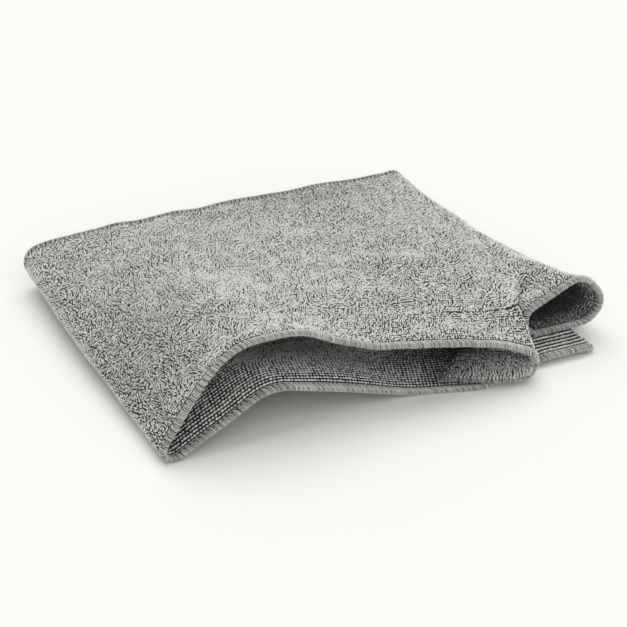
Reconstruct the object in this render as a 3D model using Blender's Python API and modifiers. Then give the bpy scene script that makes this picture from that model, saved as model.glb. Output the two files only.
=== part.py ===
"""Folded microfibre cloth: one knitted panel laid to and fro into a packet.

The panel is a single sheet. Seen along its hem it is a string drawn taut
round a row of folds, and each line across the cloth is such a string.
Sizes in the tables are millimetres; the mesh is in metres.
"""
import math

import bmesh
import bpy

MM = 0.001

PLY = 2.6                   # thickness of the cloth
CLEAR = 0.6                 # air between two plies that lie on each other
FIRST = PLY / 2             # height of a ply that lies on the table, at its middle
SECOND = FIRST + PLY + CLEAR
THIRD = SECOND + PLY + CLEAR
TIGHT = (PLY + CLEAR) / 2   # radius of a fold that is pressed flat

PLEAT_ROWS = 8
PLAIN_ROWS = 14
LEAST_STEP = 0.45           # closest that two columns come
FINE_TURN = math.radians(4)

# Each fold of the section, from the end that lies underneath: its centre
# (x, y, z) and radius at the front hem and at the back hem. turn is 1 where
# the cloth turns to its left. settle says how early a fold goes over from its
# front form to its back form. arc and run are the mesh columns on the fold
# and on the flat ply after it.
UNDER_END = dict(name="under_end", turn=0, hem=(220, 6, FIRST, 0), back=(205, 203, FIRST, 0),
                 settle=1, arc=0, run=4)
FOLDS = (
    dict(name="right_end", turn=1, hem=(245.5, -3.5, SECOND - TIGHT, TIGHT),
         back=(233, 203, SECOND - TIGHT, TIGHT), settle=1, arc=5, run=2),
    dict(name="step_top", turn=1, hem=(219, -2, SECOND - 12, 12),
         back=(205, 203, SECOND - 12, 12), settle=1, arc=2, run=1),
    dict(name="step_foot", turn=-1, hem=(203, -3, FIRST + 12, 12),
         back=(188, 203, FIRST + 12, 12), settle=1, arc=2, run=2),
    # missed by the string; it draws the lower ply forward in the mouth of the front loop
    dict(name="mouth", turn=1, hem=(176, -10, -40, 1), back=(130, 203, -40, 1), settle=1, arc=0, run=2),
    dict(name="arch_foot", turn=-1, hem=(146, 2.5, FIRST + 60, 60),
         back=(62, 203, FIRST + 60, 60), settle=1.5, arc=3, run=3),
    dict(name="arch_crest", turn=1, hem=(52.5, 1, 10, 17),
         back=(25, 203, -22, 25), settle=2, arc=4, run=3),
    dict(name="left_fold", turn=-1, hem=(-0.3, 1, 6.6, 5.3),
         back=(-11, 204, 17.5, 9.5), settle=1.4, arc=7, run=3),
    dict(name="crest", turn=-1, hem=(58, 5.5, 3.8, 54),
         back=(45, 205, -23.2, 54), settle=1.6, arc=7, run=3),
    dict(name="saddle", turn=1, hem=(127, -2, 84, 47),
         back=(110, 205, 96, 50), settle=1, arc=3, run=3),
    dict(name="shoulder", turn=-1, hem=(170, -10, 13.5, 17),
         back=(185, 205, -15, 40), settle=1, arc=3, run=2),
    dict(name="front_turn", turn=-1, hem=-14, arc=6, run=6),
    dict(name="valley", turn=1, hem=2, arc=6, run=6),
    dict(name="rise_foot", turn=1, hem=11, arc=4, run=2),
    dict(name="lip", turn=-1, hem=13.5, arc=3, run=3),
    dict(name="right_crest", turn=-1, hem=(247, 15, 28, 11),
         back=(221, 206, 12.3, 11.5), settle=2.5, arc=4, run=1),
    dict(name="right_fold", turn=-1, hem=(252.5, 16, THIRD + 12, 12),
         back=(225.5, 206, THIRD + 10, 10), settle=2.5, arc=7, run=7),
)
INNER_END = dict(name="inner_end", turn=0, hem=(218.5, 17, THIRD, 0), back=(60, 203, THIRD, 0),
                 settle=2, arc=0, run=0)
INNER_HOLD = 0.06           # the inner end keeps clear of the pleat for this share of the way

# The front pleat dies out PLEAT_DEPTH of the way to the back. Each row gives
# x, z and radius of its folds at a share of that depth, and the valley by its
# distance and direction (degrees) from the front turn.
PLEAT_DEPTH = 0.15
PLEAT_BACK = 204            # y of the pleat's lines at the back hem
PLEAT_BOW = -5              # how far the hem bows forward between front turn and valley
RELAX_DEPTH = 0.4           # share of the way over which the columns behind it even out
PLEAT = (
    dict(share=0.00, front=(195.2, 11.7, 7.4), far=44, bearing=-172.6, valley=1.6, foot=(206.8, 10.8, 5.0)),
    dict(share=0.40, front=(200.6, 17.0, 5.2), far=28, bearing=-171, valley=1.8, foot=(209.4, 16.0, 4.4)),
    dict(share=0.70, front=(205.0, 21.2, 3.8), far=14, bearing=-153, valley=2.2, foot=(211.4, 21.5, 3.4)),
    dict(share=0.86, front=(207.0, 23.6, 3.0), far=9, bearing=-100, valley=2.4, foot=(213.6, 26.0, 3.0)),
    dict(share=0.94, front=(208.0, 24.6, 2.6), far=7, bearing=-35, valley=2.6, foot=(215.0, 30.0, 3.0)),
    dict(share=1.00, front=(208.6, 25.2, 2.4), far=9, bearing=35, valley=2.6, foot=(218.0, 33.0, 3.0)),
)
LIP_HEM = (218.5, 21.8, 7)
LIP_GONE = (227, 12, 11)
# Behind the pleat its valley goes on as a soft trough: x, z and radius at the back hem.
TROUGH_BACK = (205, 66, 34)
TROUGH_SETTLE = 2.5

COLOUR = (0.46, 0.45, 0.44, 1)
ROUGHNESS = 0.95


def mix(first, second, share):
    return first + (second - first) * share


def mix_all(first, second, share):
    return [mix(a, b, share) for a, b in zip(first, second)]


def smooth(share):
    share = max(0.0, min(1.0, share))
    return share * share * (3 - 2 * share)


def pleat_at(share):
    """x, z and radius of the pleat's folds at a share of its depth."""
    share = min(share, 1.0)
    for near, far in zip(PLEAT, PLEAT[1:]):
        if share <= far["share"]:
            break
    part = (share - near["share"]) / (far["share"] - near["share"])
    front = mix_all(near["front"], far["front"], part)
    reach = mix(near["far"], far["far"], part)
    bearing = math.radians(mix(near["bearing"], far["bearing"], part))
    valley = (front[0] + reach * math.cos(bearing), front[1] + reach * math.sin(bearing),
              mix(near["valley"], far["valley"], part))
    return dict(front_turn=front, valley=valley, rise_foot=mix_all(near["foot"], far["foot"], part),
                lip=mix_all(LIP_HEM, LIP_GONE, share))


def pegs_at(across):
    """What the string is drawn round on one line across the cloth, 0 at the front and 1 at the back."""
    pleat = pleat_at(across / PLEAT_DEPTH)
    pegs = []
    for fold in (UNDER_END,) + FOLDS + (INNER_END,):
        if fold["name"] in pleat:
            x, z, radius = pleat[fold["name"]]
            y = mix(fold["hem"], PLEAT_BACK, across)
            kept = across < PLEAT_DEPTH or fold["name"] == "valley"
            if across > PLEAT_DEPTH and kept:
                behind = (across - PLEAT_DEPTH) / (1 - PLEAT_DEPTH)
                x, z, radius = mix_all((x, z, radius), TROUGH_BACK, 1 - (1 - behind) ** TROUGH_SETTLE)
        else:
            way = across
            if fold is INNER_END:
                way = max(0.0, (across - INNER_HOLD) / (1 - INNER_HOLD))
            over = 1 - (1 - way) ** fold["settle"]
            x, _, z, radius = mix_all(fold["hem"], fold["back"], over)
            y = mix(fold["hem"][1], fold["back"][1], across)
            kept = True
        pegs.append(dict(name=fold["name"], x=x, y=y, z=z, bend=radius * fold["turn"], kept=kept,
                         arc=fold["arc"], run=fold["run"]))
    return pegs


def headings_of(string):
    """Direction of each straight run of a string drawn round its pegs."""
    headings = []
    for peg, after in zip(string, string[1:]):
        dx, dz = after["x"] - peg["x"], after["z"] - peg["z"]
        lean = (after["bend"] - peg["bend"]) / math.hypot(dx, dz)
        headings.append(math.atan2(dz, dx) - math.asin(max(-1.0, min(1.0, lean))))
    return headings


def turn_at(peg, before, after):
    """Angle through which the string turns; of the wrong sign where it misses the peg."""
    turn = (after - before) % math.tau
    if peg["bend"] < 0:
        turn -= math.tau
    if abs(turn) > 1.5 * math.pi:
        turn -= math.copysign(math.tau, turn)
    return turn


def draw_taut(pegs):
    """The pegs that the string touches, and its headings between them."""
    string = [peg for peg in pegs if peg["kept"]]
    while True:
        headings = headings_of(string)
        turns = [math.copysign(1, peg["bend"]) * turn_at(peg, before, after)
                 for peg, before, after in zip(string[1:-1], headings, headings[1:])]
        least = min(turns)
        if least > 0:
            return string, headings
        del string[1 + turns.index(least)]


def point_on(peg, heading):
    return peg["x"] + peg["bend"] * math.sin(heading), peg["z"] - peg["bend"] * math.cos(heading)


def trace(string, headings):
    """The string as a fine line, distances along it, and the first and last point on each peg."""
    line = [point_on(string[0], headings[0])]
    spans = {string[0]["name"]: (0, 0)}
    for peg, before, after in zip(string[1:-1], headings, headings[1:]):
        turn = turn_at(peg, before, after)
        parts = max(1, math.ceil(abs(turn) / FINE_TURN))
        spans[peg["name"]] = (len(line), len(line) + parts)
        line += [point_on(peg, before + turn * k / parts) for k in range(parts + 1)]
    spans[string[-1]["name"]] = (len(line), len(line))
    line.append(point_on(string[-1], headings[-1]))
    along = [0.0]
    for near, far in zip(line, line[1:]):
        along.append(along[-1] + math.dist(near, far))
    return line, along, spans


def stretches_of(pegs, line, along, spans):
    """First and last distance along the line that belongs to each peg, touched or missed."""
    found = []
    for index, peg in enumerate(pegs):
        if peg["name"] in spans:
            first, last = (along[i] for i in spans[peg["name"]])
        else:
            left = next(spans[other["name"]][1] for other in reversed(pegs[:index]) if other["name"] in spans)
            (ax, az), (bx, bz) = line[left], line[left + 1]
            run = math.dist(line[left], line[left + 1])
            share = ((peg["x"] - ax) * (bx - ax) + (peg["z"] - az) * (bz - az)) / run ** 2
            first = last = along[left] + run * max(0.0, min(1.0, share))
        spare = max(0.0, peg["arc"] * LEAST_STEP - (last - first))
        found.append([first - spare / 2, last + spare / 2])
    return found


def even_out(pegs, found, share):
    """Behind the pleat its columns move apart until they are evenly spaced."""
    names = [peg["name"] for peg in pegs]
    first, last = names.index("shoulder"), names.index("right_crest")
    steps = [pegs[first]["run"]]
    for peg in pegs[first + 1:last]:
        steps += [peg["arc"], peg["run"]]
    start, end = found[first][1], found[last][0]
    done = 0
    for index in range(first + 1, last):
        done += steps[2 * (index - first - 1)]
        even_first = mix(start, end, done / sum(steps))
        done += pegs[index]["arc"]
        even_last = mix(start, end, done / sum(steps))
        found[index] = [mix(found[index][0], even_first, share), mix(found[index][1], even_last, share)]


def places_of(pegs, found, length):
    """Distance along the string of every column."""
    places = [0.0]
    for index in range(1, len(pegs)):
        first, last = found[index]
        steps = pegs[index - 1]["run"]
        places += [mix(found[index - 1][1], first, k / steps) for k in range(1, steps)]
        arc = pegs[index]["arc"]
        places += [mix(first, last, k / max(1, arc)) for k in range(arc + 1)]
    for k in range(1, len(places)):
        places[k] = max(places[k], places[k - 1] + LEAST_STEP)
    places[-1] = length
    for k in reversed(range(1, len(places) - 1)):
        places[k] = min(places[k], places[k + 1] - LEAST_STEP)
    return places


def read(stations, values, place):
    """Value at a place, straight between stations."""
    for k in range(len(stations) - 1):
        if place <= stations[k + 1]:
            break
    span = stations[k + 1] - stations[k]
    return mix(values[k], values[k + 1], min(1.0, (place - stations[k]) / span) if span else 0.0)


def line_across(across):
    """Points (x, y, z) of one line of the cloth, from its under end to its inner end."""
    pegs = pegs_at(across)
    string, headings = draw_taut(pegs)
    line, along, spans = trace(string, headings)
    found = stretches_of(pegs, line, along, spans)
    if across >= PLEAT_DEPTH:
        even_out(pegs, found, smooth((across - PLEAT_DEPTH) / RELAX_DEPTH))
    middles = [(first + last) / 2 for first, last in found]
    names = [peg["name"] for peg in pegs]
    turn, valley = names.index("front_turn"), names.index("valley")
    bow = PLEAT_BOW * max(0.0, 1 - across / PLEAT_DEPTH)
    points = []
    for place in places_of(pegs, found, along[-1]):
        x = read(along, [p[0] for p in line], place)
        z = read(along, [p[1] for p in line], place)
        y = read(middles, [peg["y"] for peg in pegs], place)
        share = (place - middles[turn]) / (middles[valley] - middles[turn])
        if 0 < share < 1:
            y += bow * 4 * share * (1 - share)
        points.append((x, y, z))
    return points


def rows_across():
    """How far across the cloth each row of the mesh lies; closer together in the pleat."""
    pleated = [PLEAT_DEPTH * k / PLEAT_ROWS for k in range(PLEAT_ROWS)]
    plain = [mix(PLEAT_DEPTH, 1, k / PLAIN_ROWS) for k in range(PLAIN_ROWS + 1)]
    return pleated + plain


def make_material():
    material = bpy.data.materials.new("microfibre_grey")
    material.use_nodes = True
    shader = material.node_tree.nodes["Principled BSDF"]
    shader.inputs["Base Color"].default_value = COLOUR
    shader.inputs["Roughness"].default_value = ROUGHNESS
    shader.inputs["Metallic"].default_value = 0
    return material


def make_cloth(collection):
    """The panel's middle surface as a grid, thickened to a ply and set over the origin."""
    rows = [line_across(across) for across in rows_across()]
    columns = len(rows[0])
    sheet = bmesh.new()
    bmesh.ops.create_grid(sheet, x_segments=columns - 1, y_segments=len(rows) - 1, size=1)
    order = sorted(sheet.verts, key=lambda v: (round(v.co.y, 5), v.co.x))
    for index, vert in enumerate(order):
        vert.co = [value * MM for value in rows[index // columns][index % columns]]
    mesh = bpy.data.meshes.new("microfibre_cloth")
    sheet.to_mesh(mesh)
    sheet.free()
    cloth = bpy.data.objects.new("microfibre_cloth", mesh)
    collection.objects.link(cloth)
    mesh.materials.append(make_material())
    ply = cloth.modifiers.new("ply", "SOLIDIFY")
    ply.thickness = PLY * MM
    ply.offset = 0
    bpy.context.view_layer.objects.active = cloth
    bpy.ops.object.modifier_apply(modifier=ply.name)
    for axis in (0, 1):
        middle = (min(v.co[axis] for v in mesh.vertices) + max(v.co[axis] for v in mesh.vertices)) / 2
        for vert in mesh.vertices:
            vert.co[axis] -= middle
    return cloth


def main():
    for item in list(bpy.data.objects):
        bpy.data.objects.remove(item)
    collection = bpy.data.collections.new("folded_cloth")
    bpy.context.scene.collection.children.link(collection)
    make_cloth(collection)


main()
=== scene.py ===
import math

import bpy
import numpy as np
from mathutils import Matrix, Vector


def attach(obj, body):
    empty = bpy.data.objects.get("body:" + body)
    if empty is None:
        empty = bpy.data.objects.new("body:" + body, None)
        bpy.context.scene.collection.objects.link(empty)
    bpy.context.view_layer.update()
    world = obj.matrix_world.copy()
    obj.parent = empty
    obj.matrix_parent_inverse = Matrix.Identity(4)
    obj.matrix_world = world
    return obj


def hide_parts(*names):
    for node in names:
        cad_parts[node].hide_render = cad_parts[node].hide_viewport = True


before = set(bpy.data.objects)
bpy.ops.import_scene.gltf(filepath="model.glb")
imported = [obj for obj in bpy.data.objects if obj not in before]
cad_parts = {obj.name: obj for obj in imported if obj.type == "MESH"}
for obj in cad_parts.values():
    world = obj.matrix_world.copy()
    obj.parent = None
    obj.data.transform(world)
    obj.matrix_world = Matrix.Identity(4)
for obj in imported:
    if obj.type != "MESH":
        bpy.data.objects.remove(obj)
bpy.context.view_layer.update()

cadNode = "microfibre_cloth"
random = np.random.default_rng(27)
mm = 0.001

# How the cloth is folded. Seen along its hem it is a string drawn tight round a row of folds, listed from
# the end that lies underneath. Each fold has its centre (x, y, z) and radius in mm, at the front hem and at
# the back hem. turn is 1 where the cloth turns to its left. settle says how early a fold takes its back
# form, and hold for what share of the way it keeps its front form. Folds with hemY are those of the pleat.
ply = 2.6          # the cloth with its pile
clear = 0.6        # air between plies that lie on each other
first = ply / 2    # heights of the lowest three plies
second = first + ply + clear
third = second + ply + clear
tight = (ply + clear) / 2

foldPlan = [
    {"name": "underEnd", "turn": 0, "hem": (220, 6, first, 0), "back": (205, 203, first, 0)},
    {"name": "rightEnd", "turn": 1, "hem": (245.5, -3.5, second - tight, tight),
     "back": (233, 203, second - tight, tight)},
    {"name": "stepTop", "turn": 1, "hem": (219, -2, second - 12, 12), "back": (205, 203, second - 12, 12)},
    {"name": "stepFoot", "turn": -1, "hem": (203, -3, first + 12, 12), "back": (188, 203, first + 12, 12)},
    {"name": "mouth", "turn": 1, "hem": (176, -10, -40, 1), "back": (130, 203, -40, 1)},
    {"name": "archFoot", "turn": -1, "hem": (146, 2.5, first + 60, 60), "back": (62, 203, first + 60, 60),
     "settle": 1.5},
    {"name": "archCrest", "turn": 1, "hem": (56, 1, -3, 30), "back": (25, 203, -22, 25), "settle": 2},
    {"name": "leftFold", "turn": -1, "hem": (-0.3, 1, 6.6, 5.3), "back": (-11, 204, 17.5, 9.5),
     "settle": 1.4},
    {"name": "crest", "turn": -1, "hem": (58, 5.5, 3.8, 54), "back": (45, 205, -23.2, 54), "settle": 1.6},
    {"name": "saddle", "turn": 1, "hem": (127, -2, 84, 47), "back": (110, 205, 96, 50)},
    {"name": "shoulder", "turn": -1, "hem": (170, -10, 13.5, 17), "back": (185, 205, -15, 40)},
    {"name": "frontTurn", "turn": -1, "hemY": -14},
    {"name": "valley", "turn": 1, "hemY": 2},
    {"name": "riseFoot", "turn": 1, "hemY": 11},
    {"name": "lip", "turn": -1, "hemY": 13.5},
    {"name": "rightCrest", "turn": -1, "hem": (247, 15, 28, 11), "back": (221, 206, 12.3, 11.5),
     "settle": 2.5},
    {"name": "rightFold", "turn": -1, "hem": (252.5, 16, third + 12, 12),
     "back": (225.5, 206, third + 10, 10), "settle": 2.5},
    {"name": "innerEnd", "turn": 0, "hem": (218.5, 17, third, 0), "back": (60, 203, third, 0), "settle": 2,
     "hold": 0.06},
]
foldNames = [fold["name"] for fold in foldPlan]

# The front pleat dies out at "depth" of the way to the back. Each row gives x, z and radius of its folds,
# and the valley by its distance and direction from the front turn. bow is how far along y the hem bulges in
# it. Behind it the valley goes on as a trough, and the grid's columns relax over a further share of the way.
pleatPlan = {
    "depth": 0.15, "backY": 204, "bow": -5, "relax": 0.4,
    "lipHem": (218.5, 21.8, 7), "lipGone": (227, 12, 11),
    "troughBack": (205, 66, 34), "troughSettle": 2.5,
    "rows": [
        {"share": 0.00, "front": (195.2, 11.7, 7.4), "far": 44, "bearing": -172.6, "valley": 1.6,
         "foot": (206.8, 10.8, 5.0)},
        {"share": 0.40, "front": (200.6, 17.0, 5.2), "far": 28, "bearing": -171, "valley": 1.8,
         "foot": (209.4, 16.0, 4.4)},
        {"share": 0.70, "front": (205.0, 21.2, 3.8), "far": 14, "bearing": -153, "valley": 2.2,
         "foot": (211.4, 21.5, 3.4)},
        {"share": 0.86, "front": (207.0, 23.6, 3.0), "far": 9, "bearing": -100, "valley": 2.4,
         "foot": (213.6, 26.0, 3.0)},
        {"share": 0.94, "front": (208.0, 24.6, 2.6), "far": 7, "bearing": -35, "valley": 2.6,
         "foot": (215.0, 30.0, 3.0)},
        {"share": 1.00, "front": (208.6, 25.2, 2.4), "far": 9, "bearing": 35, "valley": 2.6,
         "foot": (218.0, 33.0, 3.0)},
    ],
}

# The sheet that is laid on those folds, in mm: its grid, and half its thickness at distances from the edge.
sheetPlan = {
    "depth": 205, "runStep": 4.2, "arcStep": 2.6, "arcTurn": math.radians(18), "fineTurn": math.radians(3),
    "leastStep": 0.12, "rowStep": 4.0, "pleatStep": 1.8,
    "edge": (0, 0.25, 0.7, 1.3, 2.1, 3.2, 4.3, 5.6),
    "hemShifts": (-8, -4, 0, 4, 8),     # along the string; y is averaged over them
    # the hem's band from the edge to where it starts to fall and its end, the groove at the needle line, and
    # the body from its start to where it is even
    "profileAt": (0, 2, 3.6, 4.3, 5.2, 6.5), "bandHalf": 0.8, "grooveHalf": 0.6, "coreHalf": 0.8,
    "besideGroove": 0.95,
}


def mix(a, b, share):
    return a + (b - a) * share


def mixAll(a, b, share):
    return [mix(p, q, share) for p, q in zip(a, b)]


def smooth(share):
    share = max(0.0, min(1.0, share))
    return share * share * (3 - 2 * share)


def unit(vectors):
    return vectors / np.maximum(np.linalg.norm(vectors, axis=-1, keepdims=True), 1e-9)


def fadeOut(x, y, halfX, halfY):
    # 1 in the middle, and softly less to all sides
    return np.exp(-((x / halfX) ** 2 + (y / halfY) ** 2))


def alongLine(line):
    # distance of every point of a line from its start
    return np.concatenate([[0], np.cumsum(np.linalg.norm(np.diff(line, axis=0), axis=1))])


def readLine(line, at, where):
    return np.stack([np.interp(where, at, line[:, k]) for k in range(3)], axis=-1)


def pleatAt(share):
    share = min(share, 1.0)
    rows = pleatPlan["rows"]
    for near, far in zip(rows, rows[1:]):
        if share <= far["share"]:
            break
    part = (share - near["share"]) / (far["share"] - near["share"])
    front = mixAll(near["front"], far["front"], part)
    reach = mix(near["far"], far["far"], part)
    bearing = math.radians(mix(near["bearing"], far["bearing"], part))
    valley = (front[0] + reach * math.cos(bearing), front[1] + reach * math.sin(bearing),
              mix(near["valley"], far["valley"], part))
    return {"frontTurn": front, "valley": valley, "riseFoot": mixAll(near["foot"], far["foot"], part),
            "lip": mixAll(pleatPlan["lipHem"], pleatPlan["lipGone"], share)}


def pegsAt(across):
    # what the string is drawn round on one line across the cloth: 0 is the front hem, 1 the back hem
    depth = pleatPlan["depth"]
    pleat = pleatAt(across / depth)
    pegs = []
    for fold in foldPlan:
        kept = True
        if fold["name"] in pleat:
            x, z, radius = pleat[fold["name"]]
            y = mix(fold["hemY"], pleatPlan["backY"], across)
            kept = across < depth or fold["name"] == "valley"
            if across > depth and kept:
                behind = (across - depth) / (1 - depth)
                over = 1 - (1 - behind) ** pleatPlan["troughSettle"]
                x, z, radius = mixAll((x, z, radius), pleatPlan["troughBack"], over)
        else:
            hold = fold.get("hold", 0)
            over = 1 - (1 - max(0.0, (across - hold) / (1 - hold))) ** fold.get("settle", 1)
            x, _, z, radius = mixAll(fold["hem"], fold["back"], over)
            y = mix(fold["hem"][1], fold["back"][1], across)
        bend = radius * fold["turn"]
        pegs.append({"name": fold["name"], "x": x, "y": y, "z": z, "bend": bend, "kept": kept})
    return pegs


def headingsOf(string):
    headings = []
    for peg, after in zip(string, string[1:]):
        dx, dz = after["x"] - peg["x"], after["z"] - peg["z"]
        lean = (after["bend"] - peg["bend"]) / math.hypot(dx, dz)
        headings.append(math.atan2(dz, dx) - math.asin(max(-1.0, min(1.0, lean))))
    return headings


def turnAt(peg, before, after):
    # how far the string turns on a peg; of the wrong sign where it misses the peg
    turn = (after - before) % math.tau
    if peg["bend"] < 0:
        turn -= math.tau
    if abs(turn) > 1.5 * math.pi:
        turn -= math.copysign(math.tau, turn)
    return turn


def drawTight(pegs):
    string = [peg for peg in pegs if peg["kept"]]
    while True:
        headings = headingsOf(string)
        turns = [math.copysign(1, peg["bend"]) * turnAt(peg, before, after)
                 for peg, before, after in zip(string[1:-1], headings, headings[1:])]
        least = min(turns)
        if least > 0:
            return string, headings
        del string[1 + turns.index(least)]


def pointOn(peg, heading):
    return peg["x"] + peg["bend"] * math.sin(heading), peg["z"] - peg["bend"] * math.cos(heading)


def traceString(across):
    # the string as a fine line, the stretch of it that belongs to each peg, and how far it turns there
    pegs = pegsAt(across)
    string, headings = drawTight(pegs)
    line = [pointOn(string[0], headings[0])]
    spans = {string[0]["name"]: (0, 0)}
    turned = {}
    for peg, before, after in zip(string[1:-1], headings, headings[1:]):
        turn = turnAt(peg, before, after)
        turned[peg["name"]] = abs(turn)
        parts = max(1, math.ceil(abs(turn) / sheetPlan["fineTurn"]))
        spans[peg["name"]] = (len(line), len(line) + parts)
        line += [pointOn(peg, before + turn * k / parts) for k in range(parts + 1)]
    spans[string[-1]["name"]] = (len(line), len(line))
    line.append(pointOn(string[-1], headings[-1]))
    line = np.array(line)
    along = alongLine(line)
    found = []
    for index, peg in enumerate(pegs):
        if peg["name"] in spans:
            start, end = (along[i] for i in spans[peg["name"]])
        else:               # a peg that the string misses keeps its place beside it
            left = next(spans[other["name"]][1] for other in reversed(pegs[:index])
                        if other["name"] in spans)
            run = line[left + 1] - line[left]
            share = np.dot(np.array([peg["x"], peg["z"]]) - line[left], run) / np.dot(run, run)
            start = end = along[left] + np.linalg.norm(run) * max(0.0, min(1.0, share))
        found.append([start, end])
    return {"across": across, "pegs": pegs, "line": line, "along": along, "found": found, "turned": turned}


def evenOut(row, counts):
    # behind the pleat its columns move apart until they are evenly spaced
    share = smooth((row["across"] - pleatPlan["depth"]) / pleatPlan["relax"])
    start, end = foldNames.index("shoulder"), foldNames.index("rightCrest")
    steps = [counts[start][1]]
    for arc, run in counts[start + 1:end]:
        steps += [arc, run]
    found = row["found"]
    low, high = found[start][1], found[end][0]
    done = 0
    for index in range(start + 1, end):
        done += steps[2 * (index - start - 1)]
        evenStart = mix(low, high, done / sum(steps))
        done += counts[index][0]
        evenEnd = mix(low, high, done / sum(steps))
        found[index] = [mix(found[index][0], evenStart, share), mix(found[index][1], evenEnd, share)]


def columnCounts(rows):
    # mesh columns on each fold and on the run after it, enough for the row where it is longest
    counts = []
    for index, fold in enumerate(foldPlan):
        arcs = [row["found"][index][1] - row["found"][index][0] for row in rows]
        turn = max(row["turned"].get(fold["name"], 0) for row in rows)
        arc = max(math.ceil(max(arcs) / sheetPlan["arcStep"]), math.ceil(turn / sheetPlan["arcTurn"]))
        run = 0
        if index + 1 < len(foldPlan):
            runs = [row["found"][index + 1][0] - row["found"][index][1] for row in rows]
            run = max(2, math.ceil(max(runs) / sheetPlan["runStep"]))
        counts.append((arc if fold["turn"] else 0, run))
    return counts


def placesOf(row, counts):
    # distance along the string of every column; the two ends have close columns for the rounded edge
    least = sheetPlan["leastStep"]
    edge = np.array(sheetPlan["edge"])
    length = row["along"][-1]
    found = []
    for (start, end), (arc, _) in zip(row["found"], counts):
        spare = max(0.0, arc * least - (end - start))
        found.append((start - spare / 2, end + spare / 2))
    places = list(edge)
    for index in range(1, len(found)):
        begin, end = found[index - 1][1], found[index][0]
        steps = counts[index - 1][1]
        if index == 1:
            places += list(np.linspace(edge[-1], end, steps + 1)[1:-1])
        elif index == len(found) - 1:
            places += list(np.linspace(begin, length - edge[-1], steps + 1)[1:])
            places += list(length - edge[-2::-1])
            break
        else:
            places += list(np.linspace(begin, end, steps + 1)[1:-1])
        places += list(np.linspace(end, found[index][1], counts[index][0] + 1))
    places = np.array(places)
    order = np.arange(len(places)) * least
    places = np.maximum.accumulate(places - order) + order
    last = length - order[::-1]
    return np.minimum(places, last)


def layRow(row, counts):
    places = placesOf(row, counts)
    line, along = row["line"], row["along"]
    x, z = np.interp(places, along, line[:, 0]), np.interp(places, along, line[:, 1])
    middles = np.array([(start + end) / 2 for start, end in row["found"]])
    middles = np.maximum.accumulate(middles + np.arange(len(middles)) * 1e-6)
    pegY = [peg["y"] for peg in row["pegs"]]
    shifts = sheetPlan["hemShifts"]
    y = sum(np.interp(places + shift, middles, pegY) for shift in shifts) / len(shifts)
    turn, valley = middles[foldNames.index("frontTurn")], middles[foldNames.index("valley")]
    share = np.clip((places - turn) / max(valley - turn, 1e-6), 0, 1)
    y = y + pleatPlan["bow"] * max(0.0, 1 - row["across"] / pleatPlan["depth"]) * 4 * share * (1 - share)
    return np.stack([x, y, z], axis=1), places, middles


def rowsAcross():
    # how far each grid row lies from the front hem, in mm; close together at the hems and in the pleat
    edge, depth = np.array(sheetPlan["edge"]), sheetPlan["depth"]
    pleatEnd, bodyEnd = depth * pleatPlan["depth"], depth - edge[-1]
    pleatRows = round((pleatEnd - edge[-1]) / sheetPlan["pleatStep"])
    plainRows = round((bodyEnd - pleatEnd) / sheetPlan["rowStep"])
    pleat = np.linspace(edge[-1], pleatEnd, 1 + pleatRows)[1:]
    plain = np.linspace(pleatEnd, bodyEnd, 1 + plainRows)[1:]
    return np.concatenate([edge, pleat, plain, depth - edge[-2::-1]])


def layCloth():
    rowAt = rowsAcross()
    rows = [traceString(at / sheetPlan["depth"]) for at in rowAt]
    counts = columnCounts(rows)
    for row in rows:
        if row["across"] > pleatPlan["depth"]:
            evenOut(row, counts)
    laid = [layRow(row, counts) for row in rows]
    points, places, middles = (np.array([item[k] for item in laid]) for k in range(3))
    return points, places, middles, rowAt


def normalsOf(points):
    along = np.gradient(points, axis=1)
    across = np.gradient(points, axis=0)
    normal = np.cross(along, across)
    return normal / np.linalg.norm(normal, axis=2, keepdims=True)


def columnOf(name):
    # the grid column, a fraction, at the middle of a fold, row by row
    index = foldNames.index(name)
    return np.array([np.interp(middles[r, index], places[r], np.arange(places.shape[1]))
                     for r in range(len(places))])


points, places, middles, rowAt = layCloth()
fromAbove = points[:, :, :2].reshape(-1, 2)
planCentre = (fromAbove.min(axis=0) + fromAbove.max(axis=0)) / 2
lengths = places[:, -1]
print("cloth laid:", points.shape, "string from", round(lengths.min()), "to", round(lengths.max()), "mm")

# Soft unevenness, in mm. free says how far each fold may stray from the drawn section.
softPlan = {
    "free": {"archCrest": 0.3, "leftFold": 0.5, "crest": 1, "saddle": 1, "shoulder": 1, "frontTurn": 0.3,
             "lip": 0.3, "rightCrest": 0.8, "rightFold": 0.4},
    "waves": [(70, 0.8), (38, 0.45), (22, 0.22)],     # wavelength and height
    # troughs and ridges, only where the upward part of the cloth's normal is over "facingUp":
    # x, y, half length and half width, direction in degrees, height
    "creases": [(139, 33, 22, 7, -8, -1.6), (200, 48, 20, 8, 55, -1.3), (78, 70, 40, 22, 10, 1.2),
                (150, 110, 55, 14, -15, -0.9), (175, 80, 30, 10, -20, 0.9)],
    "facingUp": 0.3,
    # the arch's ply swells upwards: where, how far behind its hem that is highest, and how high
    "swell": {"on": ("mouth", "archFoot", "archCrest"), "x": 86, "half": 50, "peak": 28, "height": 8},
}
wavePlan = {"each": 5, "spread": (0.8, 1.25)}     # waves to a wavelength, and how far they differ from it


def wavesAt(x, y, waves):
    height = np.zeros_like(x)
    each = wavePlan["each"]
    for length, tall in waves:
        for _ in range(each):
            angle, phase = random.uniform(0, math.pi), random.uniform(0, math.tau)
            k = math.tau / (length * random.uniform(*wavePlan["spread"]))
            height += tall / each ** 0.5 * np.cos(k * (x * math.cos(angle) + y * math.sin(angle)) + phase)
    return height


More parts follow.
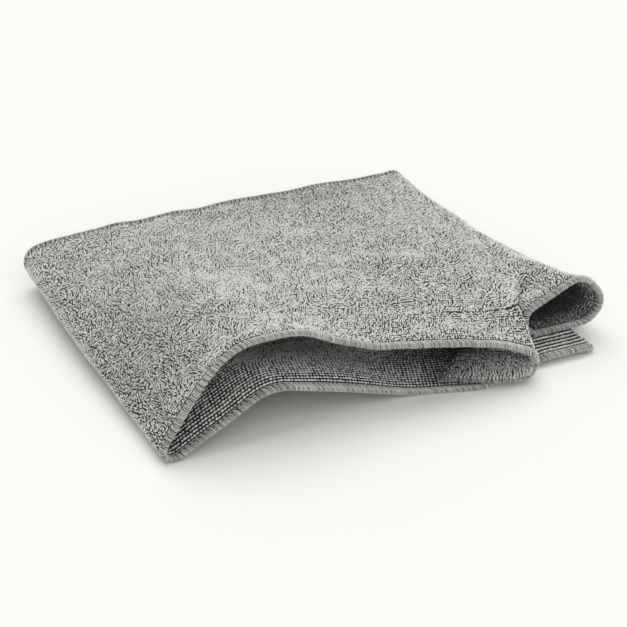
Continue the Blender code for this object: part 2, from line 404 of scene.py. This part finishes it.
def soften(points):
    normal = normalsOf(points)
    freeAt = [softPlan["free"].get(name, 0) for name in foldNames]
    free = np.array([np.interp(places[r], middles[r], freeAt) for r in range(len(places))])
    lift = wavesAt(points[:, :, 0], points[:, :, 1], softPlan["waves"])
    for x, y, halfLong, halfWide, direction, height in softPlan["creases"]:
        turn = math.radians(direction)
        dx, dy = points[:, :, 0] - x, points[:, :, 1] - y
        lengthways = dx * math.cos(turn) + dy * math.sin(turn)
        sideways = dy * math.cos(turn) - dx * math.sin(turn)
        onTop = normal[:, :, 2] > softPlan["facingUp"]
        lift = lift + height * fadeOut(lengthways, sideways, halfLong, halfWide) * onTop
    points = points + normal * (lift * free)[:, :, None]
    swell = softPlan["swell"]
    onArch = [float(name in swell["on"]) for name in foldNames]
    share = np.array([np.interp(places[r], middles[r], onArch) for r in range(len(places))])
    behind = (rowAt / swell["peak"])[:, None]
    beside = (points[:, :, 0] - swell["x"]) / swell["half"]
    points[:, :, 2] += swell["height"] * share * behind * np.exp(1 - behind - beside ** 2)
    return points


points = soften(points)
normals = normalsOf(points)
foldColumn = {name: columnOf(name) for name in foldNames}
print("cloth softened")


def edgeDistance():
    # distance of every grid point from the nearest of the four edges, in mm
    fromHem = np.minimum(rowAt, sheetPlan["depth"] - rowAt)[:, None]
    fromEnd = np.minimum(places, places[:, -1:] - places)
    return np.minimum(fromHem, fromEnd)


def halfThickness(distance):
    band, groove, core = sheetPlan["bandHalf"], sheetPlan["grooveHalf"], sheetPlan["coreHalf"]
    lower = sheetPlan["besideGroove"]
    profile = [band, band, band * lower, groove, core * lower, core]
    half = np.interp(distance, sheetPlan["profileAt"], profile)
    return half * np.sqrt(np.clip(1 - (1 - np.clip(distance / band, 0, 1)) ** 2, 0, 1))     # a round rim


def place(array):
    # from the drawing's millimetres to metres over the middle of the CAD box
    moved = np.array(array, dtype=float).reshape(-1, 3)
    moved[:, :2] -= planCentre
    return moved * mm


def addMesh(name, vertices, faces, material):
    mesh = bpy.data.meshes.new(name)
    mesh.from_pydata(vertices, [], faces)
    mesh.materials.append(material)
    mesh.polygons.foreach_set("use_smooth", np.ones(len(mesh.polygons), dtype=bool))
    mesh.update()
    piece = bpy.data.objects.new(name, mesh)
    bpy.context.scene.collection.objects.link(piece)
    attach(piece, "root")
    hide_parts(cadNode)
    return piece


def addValues(piece, name, values):
    # an attribute that the materials read, one number for each point
    attribute = piece.data.attributes.new(name, "FLOAT", "POINT")
    attribute.data.foreach_set("value", values.astype(np.float32))


# Finishes. The loops and the thread run from dark to light by their "tone", with a speckle of fibres: grain
# says how fine it is and speckle how strong. The tone holds random variation and painted light and shade.
# The knit under the loops is near black: painted shade between the loops. Where no loops are made, the
# "bare" attribute brings in a drawn pile of small cells.
terryFinish = {
    "dark": (0.035, 0.0343, 0.0333), "light": (0.85, 0.841, 0.817), "grain": 1500, "speckle": 0.5,
}
threadFinish = {
    "dark": (0.06, 0.059, 0.0575), "light": (0.7, 0.69, 0.67), "grain": 1800, "speckle": 0.9,
}
fibreFinish = {
    "surface": {"Roughness": 0.92, "Specular IOR Level": 0.2, "Sheen Weight": 0.25, "Sheen Roughness": 0.5},
    "noise": {"Detail": 3.0, "Roughness": 0.6}, "bump": {"Strength": 0.5, "Distance": 0.0003},
}
# the knit's dark and light, both near black, are painted shade between the loops; pile is the colour of the
# drawn pile
shadedKnitFinish = {
    "surface": {"Roughness": 0.95, "Specular IOR Level": 0.1}, "noise": {"Scale": 900.0, "Detail": 3.0},
    "dark": (0.02, 0.0197, 0.019), "light": (0.09, 0.0885, 0.086), "pile": (0.45, 0.444, 0.431),
    "cells": 620.0, "crowns": {"From Min": 0.75, "From Max": 0.1, "To Min": 0.0, "To Max": 0.85},
    "bump": {"Strength": 0.8, "Distance": 0.0006},
}


def newMaterial(name, surface):
    material = bpy.data.materials.new(name)
    material.use_nodes = True
    nodes, links = material.node_tree.nodes, material.node_tree.links
    shader = nodes["Principled BSDF"]
    for key, value in surface.items():
        shader.inputs[key].default_value = value
    return material, nodes, links, shader


def node(nodes, kind, **values):
    made = nodes.new(kind)
    for key, value in values.items():
        if key in made.inputs:
            made.inputs[key].default_value = value
        else:
            setattr(made, key, value)
    return made


def colourMix(nodes, dark, light):
    blend = node(nodes, "ShaderNodeMix", data_type="RGBA")
    blend.inputs[6].default_value = (*dark, 1)
    blend.inputs[7].default_value = (*light, 1)
    return blend


def clothMaterial(name, finish):
    material, nodes, links, shader = newMaterial(name, fibreFinish["surface"])
    coords = node(nodes, "ShaderNodeTexCoord")
    noise = node(nodes, "ShaderNodeTexNoise", Scale=finish["grain"], **fibreFinish["noise"])
    ramp = colourMix(nodes, finish["dark"], finish["light"])
    tone = node(nodes, "ShaderNodeAttribute", attribute_name="tone")
    blend = node(nodes, "ShaderNodeMath", operation="MULTIPLY_ADD")
    blend.inputs[1].default_value = finish["speckle"]
    bump = node(nodes, "ShaderNodeBump", **fibreFinish["bump"])
    links.new(coords.outputs["Object"], noise.inputs["Vector"])
    links.new(noise.outputs["Fac"], blend.inputs[0])
    links.new(tone.outputs["Fac"], blend.inputs[2])
    links.new(blend.outputs[0], ramp.inputs[0])
    links.new(ramp.outputs[2], shader.inputs["Base Color"])
    links.new(noise.outputs["Fac"], bump.inputs["Height"])
    links.new(bump.outputs["Normal"], shader.inputs["Normal"])
    return material


def shadedKnitMaterial():
    finish = shadedKnitFinish
    material, nodes, links, shader = newMaterial("knitShadeAndPile", finish["surface"])
    coords = node(nodes, "ShaderNodeTexCoord")
    grain = node(nodes, "ShaderNodeTexNoise", **finish["noise"])
    # near-black ground: painted shade between the loops
    ground = colourMix(nodes, finish["dark"], finish["light"])
    cells = node(nodes, "ShaderNodeTexVoronoi", Scale=finish["cells"])
    pile = node(nodes, "ShaderNodeMapRange", **finish["crowns"])
    bare = node(nodes, "ShaderNodeAttribute", attribute_name="bare")
    share = node(nodes, "ShaderNodeMath", operation="MULTIPLY")
    blend = colourMix(nodes, finish["dark"], finish["pile"])
    bump = node(nodes, "ShaderNodeBump", **finish["bump"])
    links.new(coords.outputs["Object"], grain.inputs["Vector"])
    links.new(coords.outputs["Object"], cells.inputs["Vector"])
    links.new(grain.outputs["Fac"], ground.inputs[0])
    links.new(cells.outputs["Distance"], pile.inputs["Value"])
    links.new(pile.outputs["Result"], share.inputs[0])
    links.new(bare.outputs["Fac"], share.inputs[1])
    links.new(share.outputs[0], blend.inputs[0])
    links.new(ground.outputs[2], blend.inputs[6])
    links.new(blend.outputs[2], shader.inputs["Base Color"])
    links.new(share.outputs[0], bump.inputs["Height"])
    links.new(bump.outputs["Normal"], shader.inputs["Normal"])
    return material


shadeAndPileMaterial = shadedKnitMaterial()
terryMaterial = clothMaterial("terryLoops", terryFinish)
threadMaterial = clothMaterial("overlockThread", threadFinish)
print("finishes made")

# Thread and loops are swept along knots: each knot has a side and a lift vector that carry a small ring.
ringCorners = 3
endToEnd = np.array([-0.5, 0.0, 0.5])     # the knots of a needle stitch or a loop
leastHeight = 0.02                        # thread and loops that would lie lower are pressed flat, in mm


def sweep(knots, side, lift, wide, tall):
    # knots, side and lift are (count, knots, 3), wide and tall are half sizes in mm; gives the vertices of
    # every strand and the faces of one
    count, knotCount = knots.shape[:2]
    angle = np.arange(ringCorners) / ringCorners * math.tau + math.pi / 2
    ring = (np.cos(angle)[None, None, :, None] * (side * wide[..., None])[:, :, None, :]
            + np.sin(angle)[None, None, :, None] * (lift * tall[..., None])[:, :, None, :])
    vertices = (knots[:, :, None, :] + ring).reshape(count, knotCount * ringCorners, 3)
    rings = np.arange(knotCount * ringCorners).reshape(knotCount, ringCorners).tolist()
    one = []
    for low, high in zip(rings, rings[1:]):
        for a in range(ringCorners):
            b = (a + 1) % ringCorners
            one.append([low[a], low[b], high[b], high[a]])
    return vertices, one + [rings[0][::-1], rings[-1]]


def joinParts(name, parts, tones, material):
    faces, start = [], 0
    for strands, one in parts:
        for _ in strands:
            faces += [[corner + start for corner in face] for face in one]
            start += strands.shape[1]
    vertices = np.concatenate([strands.reshape(-1, 3) for strands, _ in parts])
    vertices[:, 2] = np.maximum(vertices[:, 2], leastHeight)
    piece = addMesh(name, place(vertices), faces, material)
    addValues(piece, "tone", np.concatenate(tones))
    return piece


# The overlock: bundles of thread that wrap the edge, drawn in at the needle line, in mm.
overlockPlan = {
    "stitch": 3.0, "strands": 3, "half": 0.4, "tall": 0.34, "slant": 2.2, "bulge": 0.36,
    "start": 1.5, "stop": 1.0,                      # from the ends of an edge
    "stray": 0.15, "strandStray": 0.12,             # how uneven the stitches and their strands are
    "spread": 1.12, "backSpread": 1.2, "backBulge": 0.4, "thick": (0.85, 1.12), "tip": 0.5,
    # line of the edge grid, side of the cloth, height over the core, and how far the bundle is spread
    "path": [(6, 1, 0.0, 0.2), (5, 1, 0.2, 0.5), (4, 1, 0.34, 0.85), (2, 1, 0.28, 0.9), (0, 0, 0.2, 0.85),
             (2, -1, 0.28, 0.9), (4, -1, 0.34, 0.85), (5, -1, 0.2, 0.5), (6, -1, 0.0, 0.2)],
    "spacingLine": 2, "rimLine": 4,     # lines that stitches are spaced on, and the rim points away from
    # tone of the strands, at random in its range; a bundle's outer strands are darker by the side tone,
    # painted shade where the bundles meet; the back hem is darker by the back tone; and the tuck tone,
    # painted shade, is added where the hem lies in the tuck
    "tone": (0.25, 0.8), "paintedBundleShade": 0.3, "backTone": 0.12, "paintedTuckShade": -0.6,
    # the needle's own stitches
    "chain": {"line": 6, "ends": 3, "pitch": 2.4, "length": 2.3, "half": 0.3, "rise": 0.2,
              "taper": (0.5, 1, 0.5), "tone": (0.4, 0.8)},
}


def edgeLines(edge):
    # the grid lines beside an edge, nearest first, and the normals on them
    found = []
    for grid in (points, normals):
        if edge in ("under", "inner"):
            grid = grid.transpose(1, 0, 2)
        if edge in ("back", "inner"):
            grid = grid[::-1]
        found.append(grid[:len(sheetPlan["edge"])])
    return found


def wrapEdge(edge, lines, upward, along, half):
    # the bundles of one edge, and the tone of every strand
    plan = overlockPlan
    path, atBack = plan["path"], edge == "back"
    stitches = np.arange(plan["start"], along[-1] - plan["stop"], plan["stitch"])
    stitches = stitches + random.uniform(-plan["stray"], plan["stray"], len(stitches))
    strand = np.arange(plan["strands"]) - (plan["strands"] - 1) / 2
    pitch = plan["stitch"] / plan["strands"]
    stray = random.uniform(-plan["strandStray"], plan["strandStray"], (len(stitches), len(strand)))
    centre = np.repeat(stitches, len(strand))
    offset = (strand[None, :] * pitch + stray).ravel()
    outwards = np.abs(offset / plan["stitch"] * 2)
    bulge = plan["bulge"] * (1 - outwards ** 2) * (plan["backBulge"] if atBack else 1)
    knots, ups = [], []
    for step, (line, sideOf, low, spread) in enumerate(path):
        drift = plan["slant"] * (step / (len(path) - 1) - 0.5)
        where = centre + offset * spread * (plan["backSpread"] if atBack else plan["spread"]) + drift
        tall = (low + bulge * (low > 0))[:, None]
        at, up = readLine(lines[line], along, where), unit(readLine(upward[line], along, where))
        if sideOf == 0:
            up = unit(at - readLine(lines[plan["rimLine"]], along, where))
            at = at + up * tall
        else:
            at, up = at + up * sideOf * (half[line] + tall), up * sideOf
        knots.append(at)
        ups.append(up)
    knots, ups = np.stack(knots, axis=1), np.stack(ups, axis=1)
    ahead = np.gradient(knots, axis=1)
    side = unit(np.cross(ahead, ups))
    ups = unit(np.cross(side, ahead))
    taper = np.array([plan["tip"]] + [1.0] * (len(path) - 2) + [plan["tip"]])
    fat = random.uniform(*plan["thick"], (len(centre), 1)) * taper[None, :]
    # painted shade on a bundle's outer strands, where the bundles meet; the back hem is darker
    tone = plan["paintedBundleShade"] * (1 - outwards) - plan["paintedBundleShade"] - plan["backTone"] * atBack
    # painted shade on the hem where it lies in the tuck
    if edge == "front":
        tuck = [np.interp(foldColumn[name][0], np.arange(lines.shape[1]), along)
                for name in ("frontTurn", "valley", "riseFoot", "lip")]
        tone = tone + np.interp(centre, tuck, [0, plan["paintedTuckShade"], plan["paintedTuckShade"], 0])
    tone = random.uniform(*plan["tone"], len(centre)) + tone
    return sweep(knots, side, ups, plan["half"] * fat, plan["tall"] * fat), tone


def needleStitches(sideOf, lines, upward, along, half):
    # the needle line of one edge, on one side of the cloth
    chain = overlockPlan["chain"]
    line = chain["line"]
    where = np.arange(chain["ends"], along[-1] - chain["ends"], chain["pitch"])
    spots = where[:, None] + endToEnd * chain["length"]
    at, up = readLine(lines[line], along, spots), unit(readLine(upward[line], along, spots)) * sideOf
    at = at + up * (half[line] + np.array([0, chain["rise"], 0]))[None, :, None]
    side = unit(np.cross(up, np.gradient(at, axis=1)))
    fat = np.ones((len(where), 1)) * np.array(chain["taper"]) * chain["half"]
    return sweep(at, side, up, fat, fat), random.uniform(*chain["tone"], len(where))


def makeOverlock():
    made = []
    half = halfThickness(np.array(sheetPlan["edge"]))
    for edge in ("front", "back", "under", "inner"):
        lines, upward = edgeLines(edge)
        along = alongLine(lines[overlockPlan["spacingLine"]])
        made.append(wrapEdge(edge, lines, upward, along, half))
        made += [needleStitches(sideOf, lines, upward, along, half) for sideOf in (1, -1)]
    parts = [part for part, _ in made]
    tones = [np.repeat(tone, part[0].shape[1]) for part, tone in made]
    return joinParts("overlockThread", parts, tones, threadMaterial)


overlock = makeOverlock()
print("overlock:", len(overlock.data.polygons), "faces")

# The terry: one bent loop, copied along rows that follow the hem, in mm. Each cover runs from fold to fold
# on one side of the cloth. It says how far it goes in from the front and the back hem, where its first row
# lies, how far the beads of the hem go in and over how much they loosen, how the loops are turned and
# stretched, how close their rows are, their tone, which is painted light or shade on that face of the cloth,
# and how much painted shade they gain with each mm inwards.
loopInset = 6.0        # from the edges of the cloth
allOver = 999          # from hem to hem
topCover = {
    "piece": "terryTop", "side": 1, "front": allOver, "back": allOver, "begin": loopInset, "beads": 1,
    "loosen": 9, "turn": 1.25, "stretch": 1, "close": 1, "tone": 0.06, "paintedShadeInwards": 0,
}
# the inside faces are painted darker, as shade
insideCover = {**topCover, "piece": "terryInside", "side": -1, "turn": 0, "tone": -0.1}
terryPlan = {
    "cover": [
        {**topCover, "from": "leftFold", "to": "frontTurn"},
        {**topCover, "from": "frontTurn", "to": "lip", "front": 36, "back": 0, "close": 0.6},
        {**topCover, "from": "frontTurn", "to": "lip", "front": 0, "back": 169},
        {**topCover, "piece": "terryRight", "from": "lip", "to": "rightFold", "tone": 0.08},
        {**topCover, "piece": "terryRight", "from": "rightFold", "to": "innerEnd", "front": 14, "back": 14,
         "tone": -0.1},
        {**topCover, "piece": "terryUnder", "from": "stepFoot", "to": "leftFold", "front": 40, "back": 14,
         "beads": 7, "loosen": 12, "turn": 0.5, "close": 1.2, "tone": -0.1},
        {**insideCover, "from": "underEnd", "to": "stepFoot", "beads": 30, "loosen": 30, "stretch": 2.1,
         "close": 1.4, "tone": -0.2},
        # the inside of the arch is painted lighter, as light reaching in from the front
        {**insideCover, "from": "stepFoot", "to": "leftFold", "front": 98, "back": 20, "beads": 32,
         "loosen": 16, "close": 1.12, "tone": 0.42, "paintedShadeInwards": 0.001},
        {**insideCover, "from": "leftFold", "to": "shoulder", "front": 12, "back": 12, "beads": 14,
         "loosen": 14, "paintedShadeInwards": 0.006},
        {**insideCover, "from": "shoulder", "to": "valley", "front": 36, "back": 8, "begin": 0.9,
         "loosen": 5, "turn": 1.4, "stretch": 1.2, "close": 0.45, "paintedShadeInwards": 0.03},
        {**insideCover, "from": "riseFoot", "to": "innerEnd", "front": 60, "back": 20, "turn": 1.4,
         "tone": -0.12, "paintedShadeInwards": 0.045},
    ],
    "fromBack": 4.8,       # no row lies closer to the back hem
    "past": 14,            # how far the outer face goes on round the left and the right fold
    # of a bead close to a hem and of a free loop
    "row": (2.2, 1.75), "pitch": (1.95, 1.22), "length": (1.85, 2.1), "wide": (1.8, 1.2),
    "tall": (0.95, 0.95), "uneven": (0.5, 1),
    "sway": (0.1, 0.28), "stray": (0.15, 0.75), "tilt": (0.05, 0.2),
    "shift": 0.25,         # along its row, of its pitch
    "size": (0.8, 1.2), "lengthRange": (0.85, 1.2), "tallRange": (0.8, 1.2),
    "arch": (0.1, 0.55, 0.1), "taper": (0.4, 1.0, 0.4),     # from end to end of a loop
    "sunk": 0.2,           # in the cloth
    "overHem": 0.9, "hemTo": 4,     # raised over the hem: fully up to "hemTo", and no more from loopInset on
    "swirl": [(34, 1.0), (13, 0.8)], "swirlTurn": 1.2,      # neighbouring loops lie the same way, in patches
    # a loop is made where its tip is over the table and the spot that it faces is clear of other plies;
    # close to a hem only the table counts, and the cloth beside the loop isn't another ply
    "sight": {"tip": 1.2, "table": 0.7, "hem": 12, "facing": 2.6, "beside": 8, "clear": 0.8},
    # how strong the loops' painted highlight and shade are, and how thin the loops are:
    "paintedShadingStrength": (1.7, 1.0), "thin": (0.88, 1.0), "calm": 120,     # at the front hem, and from "calm" on
    # tone of a loop: its random range and random waves; painted highlight and shade along the loop and round
    # it; and the most painted shade that it gets inwards
    "toneRange": (0.3, 0.54), "toneWaves": [(24, 0.03), (9, 0.04)], "paintedShadingAlong": (-0.05, 0.25, -0.05),
    "paintedShadingRound": (0.12, -0.22, -0.22), "mostPaintedShade": 0.8,
    # painted highlights and painted shade on the top: x, y, half sizes and tone
    "patches": [(85, 75, 60, 45, 0.04), (150, 150, 70, 40, 0.04), (172, 12, 32, 20, 0.26),
                (235, 25, 25, 25, 0.16), (5, 55, 30, 65, -0.24), (178, 192, 50, 18, -0.16)],
    # painted shade on the plies inside the front loop, in the same columns
    "paintedShadeInside": [(165, 38, 42, 26, -0.9), (150, 4, 16, 14, -0.4)],
    "most": 13000,         # loops in one piece
    # the drawn pile: how softly it ends at the loops and at the hem, and what share of it the inner face
    # keeps, dimmed as painted shade
    "bareFade": 8, "bareFrom": 5, "bareTo": 7, "shadedInnerShare": 0.3,
}


def pastFolds(cover):
    # how far the loops of a cover go on past its first and its last fold
    outer = terryPlan["past"] * (cover["side"] == 1 and cover["front"] == allOver)
    return outer * (cover["from"] == "leftFold"), outer * (cover["to"] == "rightFold")


def bareAt(side):
    # how strong the drawn pile is on the grid points of one side: 0 where loops cover them and on the hem,
    # and dimmed on the inner side as painted shade
    plan = terryPlan
    covered = np.zeros(places.shape)
    for cover in plan["cover"]:
        if cover["side"] == side:
            before, after = pastFolds(cover)
            start, end = (middles[:, foldNames.index(cover[key]), None] for key in ("from", "to"))
            within = (places >= start - before) & (places <= end + after)
            inner = np.maximum(cover["front"] - rowAt, cover["back"] - (sheetPlan["depth"] - rowAt))
            covered = np.maximum(covered, within * np.clip(inner / plan["bareFade"] + 1, 0, 1)[:, None])
    body = np.clip((edgeDistance() - plan["bareFrom"]) / (plan["bareTo"] - plan["bareFrom"]), 0, 1)
    # the inner face's drawn pile is dimmed: painted shade inside the folds
    return (1 - covered) * body * (1 if side == 1 else plan["shadedInnerShare"])


def makePanel():
    distance = edgeDistance()
    half = halfThickness(distance)[:, :, None]
    rows, columns = distance.shape
    front, behind = points + normals * half, points - normals * half
    index = np.arange(rows * columns).reshape(rows, columns)
    rim = np.zeros((rows, columns), dtype=bool)
    rim[[0, -1], :] = True
    rim[:, [0, -1]] = True
    other = np.where(rim, index, 0)
    other[~rim] = rows * columns + np.arange((~rim).sum())

    def quads(grid):
        corners = [grid[:-1, :-1], grid[:-1, 1:], grid[1:, 1:], grid[1:, :-1]]
        return np.stack(corners, axis=2).reshape(-1, 4)

    faces = np.concatenate([quads(index), quads(other)[:, ::-1]])
    vertices = place(np.concatenate([front.reshape(-1, 3), behind[~rim]]))
    piece = addMesh("clothPanel", vertices, faces, shadeAndPileMaterial)
    addValues(piece, "bare", np.concatenate([bareAt(1).ravel(), bareAt(-1)[~rim]]))
    return piece


def inSight(centre, up, where, line, along, fromHem):
    sight = terryPlan["sight"]
    above = centre[:, 2] + up[:, 2] * sight["tip"] > sight["table"]
    if fromHem < sight["hem"]:
        return above
    facing = centre + up * sight["facing"]
    gap = np.linalg.norm(facing[:, None, :] - line[None, :, :], axis=2)
    gap[np.abs(where[:, None] - along[None, :]) < sight["beside"]] = np.inf
    return above & (gap.min(axis=1) > sight["clear"])


def scatterLoops():
    # of every loop: its place, the direction of its row, the normal, how free it is of the hem's beads, the
    # number of its cover, and its distance from the nearest hem
    plan = terryPlan
    depth, gridRows, columns = sheetPlan["depth"], np.arange(len(rowAt)), np.arange(places.shape[1])
    found = []
    for index, cover in enumerate(plan["cover"]):
        at, odd = cover["begin"], 0
        while at < depth - plan["fromBack"]:
            fromHem = min(at, depth - at)
            loose = smooth((fromHem - cover["beads"]) / cover["loosen"])
            pitch, odd = mix(*plan["pitch"], loose), 1 - odd
            r = np.interp(at, rowAt, gridRows)
            low, part = int(r), r - int(r)
            kept = at < cover["front"] or depth - at < cover["back"]
            at += mix(*plan["row"], loose) * cover["close"]
            if not kept:
                continue
            line = mix(points[low], points[low + 1], part)
            normal = unit(mix(normals[low], normals[low + 1], part))
            along = alongLine(line)
            start, end = (np.interp(np.interp(r, gridRows, foldColumn[cover[key]]), columns, along)
                          for key in ("from", "to"))
            before, after = pastFolds(cover)
            start, end = max(start - before, loopInset), min(end + after, along[-1] - loopInset)
            where = np.arange(start + odd * pitch / 2, end, pitch)
            shift = random.uniform(-plan["shift"], plan["shift"], len(where))
            where = where + shift * pitch * mix(*plan["uneven"], loose)
            centre, up = readLine(line, along, where), unit(readLine(normal, along, where)) * cover["side"]
            ahead = unit(readLine(line, along, where + 0.5) - readLine(line, along, where - 0.5))
            seen = inSight(centre, up, where, line, along, fromHem)
            own = np.ones(seen.sum())
            found.append((centre[seen], ahead[seen], up[seen], own * loose, own * index, own * fromHem))
    return [np.concatenate(values) for values in zip(*found)]


def loopWaves(centre, waves):
    # the field moves on with height, so that plies that lie on each other differ
    return wavesAt(centre[:, 0], centre[:, 1] + 2 * centre[:, 2], waves)


def loopTones(centre, up, face, paintedCoverShading, paintedShadeInwards, calm):
    # each loop gets a painted highlight on its crown and painted shade at its ends and sides; its cover and
    # the patches add painted light and shade, and painted shade grows inwards from the hem
    plan = terryPlan
    lit = loopWaves(centre, plan["toneWaves"]) + paintedCoverShading - paintedShadeInwards
    for patches, shown in ((plan["patches"], (up[:, 2] > 0) & (face > 0)), (plan["paintedShadeInside"], face < 0)):
        for x, y, halfX, halfY, amount in patches:
            lit = lit + amount * fadeOut(centre[:, 0] - x, centre[:, 1] - y, halfX, halfY) * shown
    # painted highlight on the crown of each loop and painted shade at its ends and sides, stronger near the
    # front hem
    paintedShading = np.repeat(plan["paintedShadingAlong"], ringCorners) + np.tile(plan["paintedShadingRound"], len(plan["paintedShadingAlong"]))
    paintedShadingStrength = mix(*plan["paintedShadingStrength"], calm)
    return (random.uniform(*plan["toneRange"], len(centre)) + lit)[:, None] + paintedShading * paintedShadingStrength[:, None]


def makeTerry():
    plan = terryPlan
    centre, ahead, up, loose, cover, fromHem = scatterLoops()
    # each loop takes its cover's painted light or shade and its painted shade inwards
    turn, stretch, close, paintedCoverShading, paintedShadeInwards, face = (
        np.array([item[key] for item in plan["cover"]])[cover.astype(int)]
        for key in ("turn", "stretch", "close", "tone", "paintedShadeInwards", "side"))
    count = len(centre)
    across = unit(np.cross(up, ahead))
    angle = (turn + loopWaves(centre, plan["swirl"]) * plan["swirlTurn"] * loose
             + random.normal(0, 1, count) * mix(*plan["sway"], loose))
    centre = centre + across * (random.uniform(-0.5, 0.5, count) * mix(*plan["stray"], loose))[:, None]
    lie = unit(ahead * np.cos(angle)[:, None] + across * np.sin(angle)[:, None])
    up = unit(up + random.normal(0, 1, (count, 3)) * mix(*plan["tilt"], loose)[:, None])
    lie = unit(lie - up * (lie * up).sum(axis=1)[:, None])
    side = unit(np.cross(up, lie))
    size = random.uniform(*plan["size"], count)
    length, wide, tall = (mix(*plan[key], loose) * size for key in ("length", "wide", "tall"))
    calm = np.clip(centre[:, 1] / plan["calm"], 0, 1)
    wide = wide * np.maximum(close, 1) * mix(*plan["thin"], calm)
    length = length * stretch * random.uniform(*plan["lengthRange"], count)
    tall = tall * random.uniform(*plan["tallRange"], count)
    overHem = np.interp(fromHem, [plan["hemTo"], loopInset], [plan["overHem"], 0])
    base = centre + up * (sheetPlan["coreHalf"] - plan["sunk"] + overHem)[:, None]
    knots = (base[:, None, :] + lie[:, None, :] * (endToEnd * length[:, None])[:, :, None]
             + up[:, None, :] * (np.array(plan["arch"]) * tall[:, None])[:, :, None])
    taper = np.array(plan["taper"])[None, :]
    sides, ups = (np.repeat(vector[:, None, :], len(endToEnd), axis=1) for vector in (side, up))
    vertices, one = sweep(knots, sides, ups, wide[:, None] / 2 * taper, tall[:, None] / 2 * taper)
    # painted shade grows with the distance from the hem, up to a most
    tone = loopTones(centre, up, face, paintedCoverShading, np.minimum(paintedShadeInwards * fromHem, plan["mostPaintedShade"]), calm)
    names = np.array([plan["cover"][int(k)]["piece"] for k in cover])
    made = []
    for name in dict.fromkeys(names):
        chosen = np.flatnonzero(names == name)
        chunks = math.ceil(len(chosen) / plan["most"])
        for k, chunk in enumerate(np.array_split(chosen, chunks)):
            label = name if chunks == 1 else f"{name}{k + 1}"
            made.append(joinParts(label, [(vertices[chunk], one)], [tone[chunk].ravel()], terryMaterial))
            print(label + ":", len(chunk), "loops")
    return made


panel = makePanel()
print("panel:", len(panel.data.polygons), "faces")
terry = makeTerry()

# Pale floor, soft light and the camera. aim is the spot on the floor that it looks at, in the drawing's
# millimetres, and distance is in metres.
studioPlan = {
    "floor": 30.0, "floorColour": (0.93, 0.9215, 0.888), "floorRoughness": 0.9, "world": 0.46,
    "lamps": [{"name": "softboxBack", "energy": 1.4, "angle": 55, "from": (0.1, 0.35, 1.0)},
              {"name": "softboxFront", "energy": 0.9, "angle": 70, "from": (-0.15, -1.0, 0.8)}],
    "azimuth": -25, "elevation": 31, "aim": (123.57, 103.27, 0), "distance": 0.825, "lens": 80.38,
}


def makeStudio():
    plan = studioPlan
    bpy.ops.object.select_all(action="DESELECT")
    bpy.ops.mesh.primitive_plane_add(size=plan["floor"])
    floor = bpy.context.object
    floor.name = "floor"
    surface = {"Base Color": (*plan["floorColour"], 1), "Roughness": plan["floorRoughness"],
               "Specular IOR Level": 0.0}
    floor.data.materials.append(newMaterial("paleFloor", surface)[0])
    world = bpy.data.worlds.new("softWorld")
    world.use_nodes = True
    world.node_tree.nodes["Background"].inputs["Color"].default_value = (1, 1, 1, 1)
    world.node_tree.nodes["Background"].inputs["Strength"].default_value = plan["world"]
    bpy.context.scene.world = world
    for lampPlan in plan["lamps"]:
        sun = bpy.data.lights.new(lampPlan["name"], "SUN")
        sun.energy = lampPlan["energy"]
        sun.angle = math.radians(lampPlan["angle"])
        lamp = bpy.data.objects.new(lampPlan["name"], sun)
        lamp.rotation_mode = "QUATERNION"
        lamp.rotation_quaternion = Vector(lampPlan["from"]).to_track_quat("Z", "Y")
        bpy.context.scene.collection.objects.link(lamp)


def makeCamera():
    plan = studioPlan
    a, e = math.radians(plan["azimuth"]), math.radians(plan["elevation"])
    back = Vector((math.sin(a) * math.cos(e), -math.cos(a) * math.cos(e), math.sin(e)))
    camera = bpy.data.cameras.new("camera")
    camera.lens = plan["lens"]
    eye = bpy.data.objects.new("camera", camera)
    eye.location = Vector(place(plan["aim"])[0]) + back * plan["distance"]
    eye.rotation_mode = "QUATERNION"
    eye.rotation_quaternion = (-back).to_track_quat("-Z", "Y")
    bpy.context.scene.collection.objects.link(eye)
    bpy.context.scene.camera = eye


makeStudio()
makeCamera()
bpy.context.scene.view_settings.view_transform = "Standard"
print("studio and camera set")
